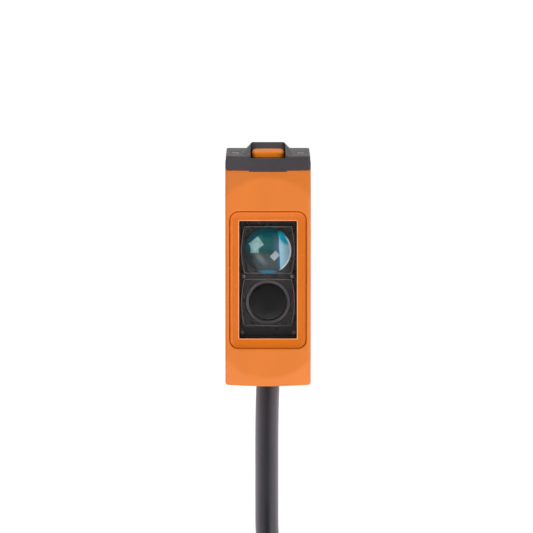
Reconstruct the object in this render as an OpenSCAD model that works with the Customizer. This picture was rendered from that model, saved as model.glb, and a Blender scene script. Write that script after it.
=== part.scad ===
// Miniature rectangular photoelectric sensor with a side-drilled plastic housing,
// a push button under a guard on its cap and a fixed round cable.
// Origin: midway between the two side mounting holes. X is the width, -Y is the
// optical face and +Z points at the cap. Millimetres.

/* [Housing] */
// Width of the housing
body_w = 10.8; // [10.6:0.1:11.4]
// Depth from the flat front to the back face
body_depth = 20; // [19.8:0.1:21]
// Height of the orange shell, without the cap
shell_h = 27.3; // [27.1:0.05:27.5]
// Wall thickness
wall = 0.9; // [0.8:0.05:1]
// Depth of the frame sunk round the window
frame_depth = 0.4; // [0.3:0.05:0.45]
// Radius of the flat front's rounded ends
face_r = 7; // [6.8:0.1:7.4]
// Backward lean of the front outside those ends, per millimetre
face_lean = 0.55; // [0.4:0.05:0.6]

/* [Mounting] */
// Distance between the two mounting holes
hole_pitch = 20; // [19.6:0.1:20.2]
// Radius of each mounting hole, clear for M3
hole_r = 1.6; // [1.55:0.05:1.7]
// Distance from the back face to the holes' axis
hole_to_back = 3; // [3:0.1:3.2]

/* [Optics] */
// Width of the window opening
window_w = 7.3; // [7.1:0.01:7.4]
// Distance between the two optical axes
lens_pitch = 6.55; // [6.45:0.05:6.65]
// Diameter of the upper, domed lens
lens_d = 5.64; // [5.4:0.02:5.7]
// Depth of the upper lens's dome
lens_sag = 1; // [0.7:0.05:1]
// Clear diameter of the lower aperture
aperture_d = 4.72; // [4.6:0.02:4.8]

/* [Cap and button] */
// Height of the cap above the shell
cap_h = 1.75; // [1.6:0.05:1.8]
// Height of the button guard above the cap
guard_h = 1.35; // [1.1:0.05:1.4]
// Width of the push button
button_w = 4.12; // [4:0.02:4.2]
// Length of the push button, front to back
button_l = 5.2; // [5:0.1:5.3]
// Travel of the push button
travel = 0.4; // [0.3:0.05:0.4]

/* [Cable] */
// Diameter of the cable
cable_d = 3; // [2.9:0.05:3.1]
// Radius of the innermost turn of the stored coil
coil_inner_turn_r = 12.5; // [12.5:0.5:14]
// Layers of turns, counted outwards
coil_layers = 4; // [4]
// Turns in each layer
coil_turns = 4.6; // [4.5:0.1:4.8]

/* [Hidden] */
$fn = 64;
eps = 0.01;

// Main planes of the housing
half_w = body_w / 2;
back_y = hole_to_back;
front_y = back_y - body_depth;
inner_front_y = front_y + wall;
shell_bottom = -hole_pitch / 2 - 3.45;
shell_top = shell_bottom + shell_h;
cap_top = shell_top + cap_h;
floor_z = shell_bottom + 1;
corner_r = 0.6;
arc_z = [shell_bottom + 7.95, shell_bottom + 19.55];
crown_r = 146;
boss_r = 3;
sleeve_r = 2.2;

// Sunk frame and window opening
frame_half_w = 4.9;
frame_z = [-8.64, 8.79];
frame_r = 1.15;
frame_slope = 0.35;
window_z = [-7.37, 7.53];
pane_flange_half_w = 4.2;
pane_flange_z = [-7.9, 8.2];
pane_flange_t = 0.6;
pane_front_y = front_y + frame_depth + 0.1;
pane_back_y = inner_front_y + pane_flange_t;

// Optical carrier behind the window
upper_z = 3.62;
lower_z = upper_z - lens_pitch;
carrier_front_y = pane_back_y + 0.4;
holder_front_y = pane_back_y + 1.1;
holder_t = 0.8;
block_front_y = holder_front_y + holder_t;
board_t = 0.8;
board_front_y = -4.6;
board_back_y = board_front_y + board_t;
carrier_half_w = 4.15;
carrier_z = [-8, 8.3];
holder_half_w = 3.4;
holder_side_r = 12;
divider_z = [0.03, 0.7];
divider_half_l = 3.5;
holder_h = 6;
lens_plate_t = 0.6;
ring_r = 2.88;
filter_r = 2.7;
filter_t = 0.8;
peg_r = 0.2;

// Cap, guard and button
cap_taper = 0.17;
spigot_h = 0.75;
guard_y = [-10.2, -7.2];
guard_tip_y = -15.6;
guard_top_half_w = 2.05;
button_y = -11;
button_top = cap_top + 0.65;
button_base = cap_top - 0.3;
pocket_floor = button_base - travel - 0.2;
stem_r = 1.3;
running_gap = 0.05;
stem_foot = 13;
seat_z = 13.3;
guide_x = [3.55, 4.75];
guide_y = [-8.8, -5.6];
guide_foot_z = 11.35;

// Boards and switch
indicator_z = [9.9, 10.5];
plunger_r = 0.85;
switch_half_w = 1.7;
switch_top = indicator_z[1] + 1.2;
header_x = [-3, -1.8, -0.6, 0.6, 1.8, 3];

// Cable
cable_y = -7.5;
cable_r = cable_d / 2;
clamp_top = -9.3;
coil_y = -5.5;
coil_z = -67;
coil_bore_r = coil_inner_turn_r - cable_r;
coil_rim_r = coil_bore_r + coil_layers * cable_d;
coil_half_t = (coil_turns + 1) * cable_d / 2;
cable_route = [
    [0, -7.5, -9.4], [0, -7.5, -13.2], [-0.1, -7.5, -17], [-0.15, -7.5, -21], [-0.15, -7.5, -25],
    [-0.15, -7.5, -29], [-0.1, -7.9, -33.2], [0.3, -8.6, -36.2], [1.1, -9.5, -39.1],
    [2.5, -10.5, -41.7], [4.3, -11.4, -44.1], [6.5, -12, -46], [9.1, -12.3, -47.5]
];
core_r = 0.55;
core_path_r = coil_bore_r - core_r - 0.1;
core_angles = [-20, -108];
core_y = [-12.8, -11.6, -10.4];
core_tip_angle = 22;

// ---------- shared shapes ----------

// Flat rounded rectangle between two corners
module rounded_rect(low, high, r) {
    size = high - low;
    translate([low.x + r, low.y]) square([size.x - 2 * r, size.y]);
    translate([low.x, low.y + r]) square([size.x, size.y - 2 * r]);
    for (x = [low.x + r, high.x - r], y = [low.y + r, high.y - r])
        translate([x, y]) circle(r);
}

// Upright prism of a plan drawn in X and Y
module prism_z(z0, z1) {
    translate([0, 0, z0]) linear_extrude(z1 - z0) children();
}

// Prism along Y of an outline drawn in X and Z
module prism_y(y0, y1) {
    translate([0, y1, 0]) rotate([90, 0, 0]) linear_extrude(y1 - y0) children();
}

// Cylinder or cone along Y
module rod_y(y0, y1, r1, r2, z = 0, x = 0) {
    translate([x, y0, z]) rotate([-90, 0, 0]) cylinder(h = y1 - y0, r1 = r1, r2 = r2);
}

// Cylinder along the full width
module rod_x(r, z, half_length) {
    translate([-half_length, 0, z]) rotate([0, 90, 0]) cylinder(h = 2 * half_length, r = r);
}

// Box between two corners
module block(low, high) {
    translate(low) cube(high - low);
}

// Front of the housing: flat between two arcs, leaning back outside them
module front_form(setback = 0) {
    reach = body_depth + 4;
    y0 = front_y + setback;
    for (z = arc_z) rod_y(y0, y0 + reach, face_r, face_r + reach / face_lean, z);
    block([-2 * body_w, y0, arc_z[0]], [2 * body_w, y0 + reach, arc_z[1]]);
}

function peg_places() = [
    for (side = [-1, 1]) each [[side * 3.1, 0.36], [side * 3.3, -6.8]]
];

function unit(v) = v / norm(v);
function heading(route, i) =
    unit(route[min(i + 1, len(route) - 1)] - route[max(i - 1, 0)]);
function ring_point(route, i, r, angle) =
    let (side = unit(cross(heading(route, i), [0, 1, 0])))
    let (up = cross(side, heading(route, i)))
    route[i] + r * (cos(angle) * side + sin(angle) * up);

// Tube swept along a route as one closed solid
module tube(route, r, sides) {
    last = len(route) - 1;
    points = [
        for (i = [0 : last], k = [0 : sides - 1]) ring_point(route, i, r, 360 * k / sides)
    ];
    skin = [
        for (i = [0 : last - 1], k = [0 : sides - 1])
            let (a = i * sides + k, b = i * sides + (k + 1) % sides)
            each [[a, b, a + sides], [b, b + sides, a + sides]]
    ];
    first_cap = [[for (k = [sides - 1 : -1 : 0]) k]];
    last_cap = [[for (k = [0 : sides - 1]) last * sides + k]];
    polyhedron(points, concat(skin, first_cap, last_cap));
}

// ---------- housing ----------

// Shallow dish round the window, with sloping sides
module frame_recess() {
    low = [-frame_half_w, frame_z[0]];
    high = [frame_half_w, frame_z[1]];
    inset = [frame_slope, frame_slope];
    hull() {
        prism_y(front_y - 1, front_y + 0.1) rounded_rect(low, high, frame_r, $fn = 32);
        prism_y(front_y - 1, front_y + frame_depth)
            rounded_rect(low + inset, high - inset, frame_r - frame_slope, $fn = 32);
    }
}

module window_opening(gap = 0) {
    rounded_rect([-window_w / 2 + gap, window_z[0] + gap],
        [window_w / 2 - gap, window_z[1] - gap], 0.25);
}

module shell_cavity() {
    difference() {
        intersection() {
            block([-half_w + wall, inner_front_y, floor_z], [half_w - wall, back_y - wall, shell_top + 1]);
            front_form(wall);
        }
        for (z = [-1, 1] * hole_pitch / 2) rod_x(boss_r, z, half_w);
    }
}

module gasket_plan(inset) {
    rounded_rect([-4.9 + inset, -14.9 + inset], [4.9 - inset, back_y - 0.5 - inset], 0.5);
}

module cap_tab() {
    block([-2.35, front_y - 1, shell_top - 0.12], [2.35, inner_front_y + 0.4, shell_top + eps]);
}

module housing() {
    color("#e88436")
    difference() {
        intersection() {
            prism_z(shell_bottom, shell_top)
                rounded_rect([-half_w, front_y], [half_w, back_y], corner_r);
            front_form();
            rod_y(front_y - 1, back_y + 1, crown_r, crown_r, shell_bottom + crown_r, $fn = 128);
        }
        shell_cavity();
        frame_recess();
        prism_y(front_y - 1, inner_front_y + 0.5) window_opening();
        for (z = [-1, 1] * hole_pitch / 2) rod_x(sleeve_r, z, half_w + 1);
        translate([0, cable_y, shell_bottom - 1]) cylinder(h = 3, r = 2);
        prism_z(shell_top - 0.3, shell_top + 1) gasket_plan(0);
        cap_tab();
    }
}

module sleeve(z) {
    color("#c9cbcd")
    difference() {
        rod_x(sleeve_r, z, half_w);
        rod_x(hole_r, z, half_w + 1);
    }
}

module sleeve_upper() { sleeve(hole_pitch / 2); }

module sleeve_lower() { sleeve(-hole_pitch / 2); }

// ---------- cap ----------

// Trapezoid of the guard, drawn in X and Z
module guard_outline(base_z, top_z) {
    half = guard_top_half_w + top_z - base_z;
    polygon([[-half, base_z], [half, base_z], [guard_top_half_w, top_z], [-guard_top_half_w, top_z]]);
}

module guard() {
    top_z = cap_top + guard_h;
    prism_y(guard_y[0], guard_y[1]) guard_outline(cap_top - 0.2, top_z);
    hull() {
        prism_y(guard_y[0], guard_y[0] + 0.1) guard_outline(cap_top - 0.1, top_z);
        block([-2.4, guard_tip_y, cap_top - 0.1], [2.4, guard_tip_y + 0.1, cap_top + 0.05]);
    }
}

module button_pocket() {
    gap = 0.14;
    low = [-button_w / 2 - gap, button_y - button_l / 2 - gap];
    high = [button_w / 2 + gap, button_y + button_l / 2 + gap];
    prism_z(pocket_floor, cap_top + 2) rounded_rect(low, high, 0.7);
    block([low.x, front_y - 1, button_base], [high.x, button_y, cap_top + 2]);
}

module cap_shell() {
    hull() {
        prism_z(shell_top, shell_top + 0.9)
            rounded_rect([-half_w, front_y], [half_w, back_y], corner_r, $fn = 32);
        prism_z(cap_top - 0.1, cap_top)
            rounded_rect([-half_w + cap_taper, front_y], [half_w - cap_taper, back_y - cap_taper],
                corner_r, $fn = 32);
    }
}

module guide_hole(side) {
    low = side > 0 ? guide_x[0] : -guide_x[1];
    high = side > 0 ? guide_x[1] : -guide_x[0];
    rounded_rect([low, guide_y[0]], [high, guide_y[1]], 0.3);
}

module top_cap() {
    color("#47464a")
    difference() {
        union() {
            intersection() {
                cap_shell();
                front_form();
            }
            guard();
            prism_z(shell_top - spigot_h, shell_top + eps)
                rounded_rect([-4.3, -14.3], [4.3, back_y - wall - 0.2], 0.4);
            intersection() {
                cap_tab();
                front_form();
                block([-3, front_y, shell_top - 1], [3, inner_front_y + 0.4, shell_top + eps]);
            }
        }
        difference() {
            prism_z(shell_top - 2, shell_top + 0.45)
                rounded_rect([-3.85, -13.9], [3.85, back_y - wall - 0.7], 0.4);
            translate([0, button_y, seat_z]) cylinder(h = 3, r = 3.3);
        }
        translate([0, button_y, seat_z - 1]) cylinder(h = 3, r = stem_r + running_gap);
        button_pocket();
        for (side = [-1, 1]) prism_z(shell_top - 2, cap_top + 1) guide_hole(side);
    }
}

module cap_gasket() {
    color("#1d1d1f")
    difference() {
        prism_z(shell_top - 0.3, shell_top) gasket_plan(0);
        prism_z(shell_top - 1, shell_top + 1) gasket_plan(0.5);
        cap_tab();
    }
}

module push_button() {
    low = [-button_w / 2, button_y - button_l / 2];
    high = [button_w / 2, button_y + button_l / 2];
    edge = 0.3;
    color("#e8862f") {
        hull() {
            prism_z(button_base, button_top - 0.35) rounded_rect(low, high, 0.6, $fn = 32);
            prism_z(button_top - 0.06, button_top)
                rounded_rect(low + [edge, edge], high - [edge, edge], 0.4, $fn = 32);
        }
        translate([0, button_y, stem_foot]) cylinder(h = button_base - stem_foot + eps, r = stem_r);
    }
}

module button_membrane() {
    color("#2c2b2e")
    translate([0, button_y, 0])
    rotate_extrude()
    polygon([
        [0, 12.35], [1.2, 12.35], [1.3, 12.6], [2.2, 12.75], [2.8, 12.5], [2.8, seat_z],
        [2.25, seat_z], [2.15, 13.05], [1.3, 12.9], [1.1, 12.95], [0, 12.95]
    ]);
}

module light_guide(side) {
    slim = 0.05;
    color("#8f8a80", 0.8) {
        prism_z(shell_top + 0.2, cap_top - 0.03)
            rounded_rect([min(side * (guide_x[0] + slim), side * (guide_x[1] - slim)), guide_y[0] + slim],
                [max(side * (guide_x[0] + slim), side * (guide_x[1] - slim)), guide_y[1] - slim], 0.25);
        prism_z(guide_foot_z, shell_top + 0.2 + eps)
            rounded_rect([min(side * 3.2, side * 3.9), guide_y[0] + 0.4],
                [max(side * 3.2, side * 3.9), guide_y[1] - 0.4], 0.2);
    }
}

module light_guide_left() { light_guide(-1); }

module light_guide_right() { light_guide(1); }

// ---------- optics ----------

module pane_flange_outline(inset = 0) {
    rounded_rect([-pane_flange_half_w + inset, pane_flange_z[0] + inset],
        [pane_flange_half_w - inset, pane_flange_z[1] - inset], 0.4);
}

module front_window() {
    color("#9fb4ba", 0.35) {
        prism_y(pane_front_y, inner_front_y + eps) window_opening(0.06);
        prism_y(inner_front_y, pane_back_y) pane_flange_outline();
    }
}

module window_gasket() {
    color("#151515")
    prism_y(pane_back_y, carrier_front_y)
    difference() {
        pane_flange_outline(0.05);
        pane_flange_outline(0.5);
    }
}

// Barrel-sided outline of a lens holder between two heights
module holder_outline(z0, z1) {
    offset_x = holder_side_r - holder_half_w;
    mid = (z0 + z1) / 2;
    intersection() {
        translate([-carrier_half_w, z0]) square([2 * carrier_half_w, z1 - z0]);
        translate([offset_x, mid]) circle(holder_side_r, $fn = 96);
        translate([-offset_x, mid]) circle(holder_side_r, $fn = 96);
    }
}

module lens_plate_outline(gap = 0) {
    half = lens_d / 2 + gap;
    rounded_rect([-half, upper_z - half], [half, upper_z + half], 0.9);
}

module carrier_outline() {
    rounded_rect([-carrier_half_w, carrier_z[0]], [carrier_half_w, carrier_z[1]], 0.4);
}

module optic_carrier() {
    color("#262325")
    difference() {
        union() {
            difference() {
                prism_y(carrier_front_y, board_front_y) carrier_outline();
                prism_y(carrier_front_y - 1, block_front_y) rounded_rect([-3.7, -7.4], [3.7, 7.6], 0.3);
            }
            prism_y(holder_front_y, block_front_y) {
                holder_outline(divider_z[1], divider_z[1] + holder_h);
                holder_outline(divider_z[0] - holder_h, divider_z[0]);
            }
            block([-divider_half_l, holder_front_y + 0.15, divider_z[0]],
                [divider_half_l, block_front_y, divider_z[1]]);
        }
        prism_y(holder_front_y - 1, holder_front_y + lens_plate_t) lens_plate_outline();
        rod_y(holder_front_y - 1, board_front_y + 1, 2.5, 2.5, upper_z);
        rod_y(holder_front_y - 1, block_front_y, ring_r, ring_r, lower_z);
        rod_y(block_front_y - eps, block_front_y + filter_t, filter_r, filter_r, lower_z);
        rod_y(block_front_y, board_front_y + 1, 2.3, 2.3, lower_z);
        for (peg = peg_places()) rod_y(front_y, block_front_y + 0.5, peg_r, peg_r, peg.y, peg.x);
    }
}

module stake_pegs() {
    color("#3a3739")
    for (peg = peg_places())
        rod_y(holder_front_y - 0.05, block_front_y + 0.5, peg_r, peg_r, peg.y, peg.x);
}

module upper_lens() {
    rim = lens_d / 2;
    ball_r = (rim * rim + lens_sag * lens_sag) / (2 * lens_sag);
    color("#1b6f7d", 0.8) {
        prism_y(holder_front_y, holder_front_y + lens_plate_t) lens_plate_outline();
        intersection() {
            translate([0, holder_front_y - lens_sag + ball_r, upper_z]) sphere(ball_r, $fn = 96);
            rod_y(front_y, holder_front_y + eps, rim, rim, upper_z);
        }
    }
}

module aperture_ring() {
    color("#3b383b")
    difference() {
        rod_y(holder_front_y, block_front_y, ring_r, ring_r, lower_z);
        rod_y(holder_front_y - eps, block_front_y + eps, ring_r - 0.06, aperture_d / 2, lower_z);
    }
}

module lower_filter() {
    color("#141314")
    rod_y(block_front_y, block_front_y + filter_t, filter_r, filter_r, lower_z);
}

module photodiode() {
    color("#2b2f38")
    block([-1.2, board_front_y - 1, upper_z - 1.2], [1.2, board_front_y, upper_z + 1.2]);
}

module emitter_led() {
    color("#d8d6cf") {
        block([-1.1, board_front_y - 0.8, lower_z - 1.1], [1.1, board_front_y, lower_z + 1.1]);
        translate([0, board_front_y - 0.8, lower_z]) sphere(0.85);
    }
}

// ---------- electronics ----------

module main_board() {
    color("#1f6b3a")
    block([-4.2, board_front_y, -11.4], [4.2, board_back_y, 12.6]);
}

module controller_chip() {
    color("#1c1c1e")
    block([-2, board_back_y, -2], [2, board_back_y + 0.9, 2]);
}

module chip_capacitors() {
    color("#b59a74")
    for (x = [-3, -1, 1, 3]) block([x - 0.4, board_back_y, 3.2], [x + 0.4, board_back_y + 0.8, 4.8]);
}

module chip_resistors() {
    color("#242427")
    for (x = [-3, -1.5, 0, 1.5, 3])
        block([x - 0.3, board_back_y, -4.6], [x + 0.3, board_back_y + 0.35, -3.4]);
}

module indicator_board() {
    color("#1f6b3a")
    block([-4.2, -14.2, indicator_z[0]], [4.2, board_front_y - 0.3, indicator_z[1]]);
}

module pin_header() {
    color("#19191b")
    block([-3.6, board_front_y - 1.8, carrier_z[1] + 0.2], [3.6, board_front_y, indicator_z[0]]);
}

module header_pins() {
    color("#d2b35c")
    for (x = header_x)
        translate([x, board_front_y - 0.9, carrier_z[1] + 0.5]) cylinder(h = 2.3, r = 0.2);
}

module switch_body() {
    color("#202022")
    difference() {
        block([-switch_half_w, button_y - switch_half_w, indicator_z[1]],
            [switch_half_w, button_y + switch_half_w, switch_top]);
        translate([0, button_y, indicator_z[1] + 0.25]) cylinder(h = 3, r = plunger_r + running_gap);
    }
}

module switch_cover() {
    color("#c4c6c8")
    difference() {
        block([-switch_half_w, button_y - switch_half_w, switch_top],
            [switch_half_w, button_y + switch_half_w, switch_top + 0.15]);
        translate([0, button_y, switch_top - 1]) cylinder(h = 3, r = plunger_r + running_gap);
    }
}

module switch_plunger() {
    color("#7a2d24")
    translate([0, button_y, 11.2]) cylinder(h = 1.1, r = plunger_r);
}

module indicator_led(side, tone) {
    color(tone)
    block([side * 3.55 - 0.4, -8, indicator_z[1]], [side * 3.55 + 0.4, -6.4, indicator_z[1] + 0.6]);
}

module yellow_led() { indicator_led(-1, "#e8c53a"); }

module green_led() { indicator_led(1, "#7fbf5a"); }

// ---------- cable ----------

module cable_grommet() {
    color("#2a2a2c")
    difference() {
        translate([0, cable_y, shell_bottom + 0.15])
        rotate_extrude()
        polygon([[0, 0], [2, 0], [2, 0.85], [2.7, 0.85], [2.7, 1.6], [1.9, 1.9], [0, 1.9]]);
        translate([0, cable_y, shell_bottom - 1]) cylinder(h = 4, r = cable_r);
    }
}

module cable_clamp() {
    color("#b8babd")
    translate([0, cable_y, clamp_top - 1.6])
    difference() {
        cylinder(h = 1.6, r = cable_r + 0.35);
        translate([0, 0, -1]) cylinder(h = 4, r = cable_r);
    }
}

module inner_leads() {
    color("#3f5f9a")
    for (x = [-0.75, 0, 0.75]) {
        translate([x, cable_y, -9.4]) cylinder(h = 0.7, r = 0.35);
        translate([x, cable_y, -8.7]) sphere(0.35);
        rod_y(cable_y, board_front_y, 0.35, 0.35, -8.7, x);
    }
}

module cable() {
    color("#3b3a3e") tube(cable_route, cable_r, 8);
}

module cable_coil() {
    color("#3b3a3e")
    translate([0, coil_y, coil_z])
    rotate([90, 0, 0])
    rotate_extrude($fn = 96)
    rounded_rect([coil_bore_r, -coil_half_t], [coil_rim_r, coil_half_t], cable_r);
}

// Band round the coil's section at an angle from +X towards +Z
module tie(angle) {
    gap = 0.12;
    band = 0.9;
    half_l = 1.25;
    translate([0, coil_y, coil_z])
    rotate([0, -angle, 0]) {
        difference() {
            block([coil_bore_r - gap - band, -coil_half_t - gap - band, -half_l],
                [coil_rim_r + gap + band, coil_half_t + gap + band, half_l]);
            block([coil_bore_r - gap, -coil_half_t - gap, -half_l - 1],
                [coil_rim_r + gap, coil_half_t + gap, half_l + 1]);
        }
        block([coil_rim_r + gap + band - eps, -2.2, -1.9], [coil_rim_r + gap + band + 2.2, 2.2, 1.9]);
    }
}

module tie_upper() { color("#26262a") tie(38); }

module tie_lower() { color("#26262a") tie(218); }

// Route of one loose core along the coil's bore
function core_route(y, from_angle, to_angle, steps) = [
    for (i = [0 : steps])
        let (angle = from_angle + (to_angle - from_angle) * i / steps)
        [core_path_r * cos(angle), y, coil_z + core_path_r * sin(angle)]
];

module core(index, tone) {
    color(tone)
    tube(core_route(core_y[index], core_angles[0], core_angles[1], 12), core_r, 8);
}

module core_brown() { core(0, "#6b4226"); }

module core_blue() { core(1, "#2f5fa8"); }

module core_black() { core(2, "#161618"); }

module core_tips() {
    color("#c9cbcd")
    for (y = core_y)
        tube(core_route(y, core_angles[1], core_angles[1] - core_tip_angle, 4), 0.35, 8);
}

housing();
sleeve_upper();
sleeve_lower();
top_cap();
cap_gasket();
push_button();
button_membrane();
light_guide_left();
light_guide_right();
front_window();
window_gasket();
optic_carrier();
upper_lens();
aperture_ring();
lower_filter();
stake_pegs();
photodiode();
emitter_led();
main_board();
controller_chip();
chip_capacitors();
chip_resistors();
indicator_board();
pin_header();
header_pins();
switch_body();
switch_cover();
switch_plunger();
yellow_led();
green_led();
cable_grommet();
cable_clamp();
inner_leads();
cable();
cable_coil();
tie_upper();
tie_lower();
core_brown();
core_blue();
core_black();
core_tips();
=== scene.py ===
"""Looks of a miniature rectangular photoelectric sensor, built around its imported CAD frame.

Lengths in the tables below are millimetres in the row frame: X is the width, -Y is the optical face,
+Z points at the cap, and the origin is midway between the two side mounting holes.
"""
import math
import random

import bmesh
import bpy
from mathutils import Matrix, Vector


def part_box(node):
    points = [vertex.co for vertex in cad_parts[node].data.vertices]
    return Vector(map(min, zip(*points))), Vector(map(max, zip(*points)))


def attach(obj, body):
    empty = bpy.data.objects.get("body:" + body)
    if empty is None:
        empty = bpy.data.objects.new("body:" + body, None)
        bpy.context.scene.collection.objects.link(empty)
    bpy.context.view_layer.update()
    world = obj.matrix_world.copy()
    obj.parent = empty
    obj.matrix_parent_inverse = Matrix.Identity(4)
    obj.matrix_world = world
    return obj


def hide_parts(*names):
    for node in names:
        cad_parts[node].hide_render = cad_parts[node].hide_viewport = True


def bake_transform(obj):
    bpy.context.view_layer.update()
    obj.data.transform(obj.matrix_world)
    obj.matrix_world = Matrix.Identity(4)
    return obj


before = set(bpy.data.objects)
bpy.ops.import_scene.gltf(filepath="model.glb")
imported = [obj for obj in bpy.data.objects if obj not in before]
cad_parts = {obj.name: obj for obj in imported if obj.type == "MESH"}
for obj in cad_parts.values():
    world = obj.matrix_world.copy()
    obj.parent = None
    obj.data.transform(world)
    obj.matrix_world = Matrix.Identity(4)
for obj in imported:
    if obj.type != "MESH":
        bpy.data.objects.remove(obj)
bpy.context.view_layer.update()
MM = 0.001


def span(node):
    """Lowest and highest corner of a CAD node, in millimetres."""
    low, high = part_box(node)
    return low / MM, high / MM


# ---------- places and sizes ----------

shell_low, shell_high = span("housing")
cap_high = span("top_cap")[1]
button_low, button_high = span("push_button")
pane_low, pane_high = span("front_window")
lens_low, lens_high = span("upper_lens")
ring_low, ring_high = span("aperture_ring")
filter_low, filter_high = span("lower_filter")
coil_low, coil_high = span("cable_coil")
grommet_low, grommet_high = span("cable_grommet")

HALF_W = shell_high.x
BACK_Y = shell_high.y
SHELL_FRONT_Y = shell_low.y
FRAME_DEPTH = 0.4
RECESS_Y = SHELL_FRONT_Y + FRAME_DEPTH
SHELL_BOTTOM = shell_low.z
SHELL_TOP = shell_high.z
SHELL_EDGE = 0.28
CORNER_R = 0.42
WALL = 0.9
# the front is flat between two arcs round these heights, and leans back beyond them
FACE_R = 7.0
FACE_LEAN = 0.55
FACE_SOFTEN = 0.18
ARC_Z = (SHELL_BOTTOM + 7.95, SHELL_BOTTOM + 19.55)
CROWN_R = 146.0
CAP_TOP = SHELL_TOP + 1.75
CAP_TAPER = 0.09
CAP_EDGE = 0.14
CHANNEL_Z = CAP_TOP - 0.3
CABLE_D = 3.0
CABLE_X = (grommet_low.x + grommet_high.x) / 2
CABLE_Y = (grommet_low.y + grommet_high.y) / 2
COIL_Y = (coil_low.y + coil_high.y) / 2
COIL_Z = (coil_low.z + coil_high.z) / 2
HOLE_Z = (-10.0, 10.0)
BUTTON_Y = (button_low.y + button_high.y) / 2
POCKET_HALF_W = 2.2
LENS_Z = (lens_low.z + lens_high.z) / 2
LENS_R = 2.94
LENS_BALL_R = 4.94
LENS_PLATE_T = 0.6
RING_Z = (ring_low.z + ring_high.z) / 2
FLOOR_Z = -92.0
FRAME_HALF_W = 4.9
FRAME_Z = (-8.64, 8.79)
FRAME_R = 1.15
WINDOW_HALF_W = 3.65
WINDOW_Z = (-7.37, 7.53)
WINDOW_R = 0.12
HOLDER_Z = ((-5.97, 0.03), (0.7, 6.7))
HOLDER_HALF_W = 3.4
HOLDER_SIDE_R = 12.0
PEG_PLACES = ((-3.1, 0.36), (3.1, 0.36), (-3.3, -6.8), (3.3, -6.8))


# ---------- camera ----------

def make_camera():
    """A long lens a little above the cap, level with the sensor's middle plane."""
    distance = 722.0
    rise = math.radians(4.58)
    target = Vector((-0.19, SHELL_FRONT_Y, 1.8))
    data = bpy.data.cameras.new("camera")
    data.sensor_width = 36.0
    data.lens = 388.3
    data.clip_start = 0.01
    data.clip_end = 20.0
    camera = link_object("camera", data)
    back = Vector((0.0, -math.cos(rise), math.sin(rise)))
    camera.location = (target + back * distance / math.cos(rise)) * MM
    camera.rotation_mode = "QUATERNION"
    camera.rotation_quaternion = (-back).to_track_quat("-Z", "Y")
    bpy.context.scene.camera = camera


# ---------- materials ----------

def add_node(tree, kind, operation=None, **inputs):
    """A new node, whose inputs are given as numbers or as other nodes' outputs."""
    node = tree.nodes.new("ShaderNode" + kind)
    if operation:
        node.operation = operation
    for key, value in inputs.items():
        socket = node.inputs[key.replace("_", " ").title()]
        if isinstance(value, bpy.types.NodeSocket):
            tree.links.new(value, socket)
        else:
            socket.default_value = value
    return node


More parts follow.
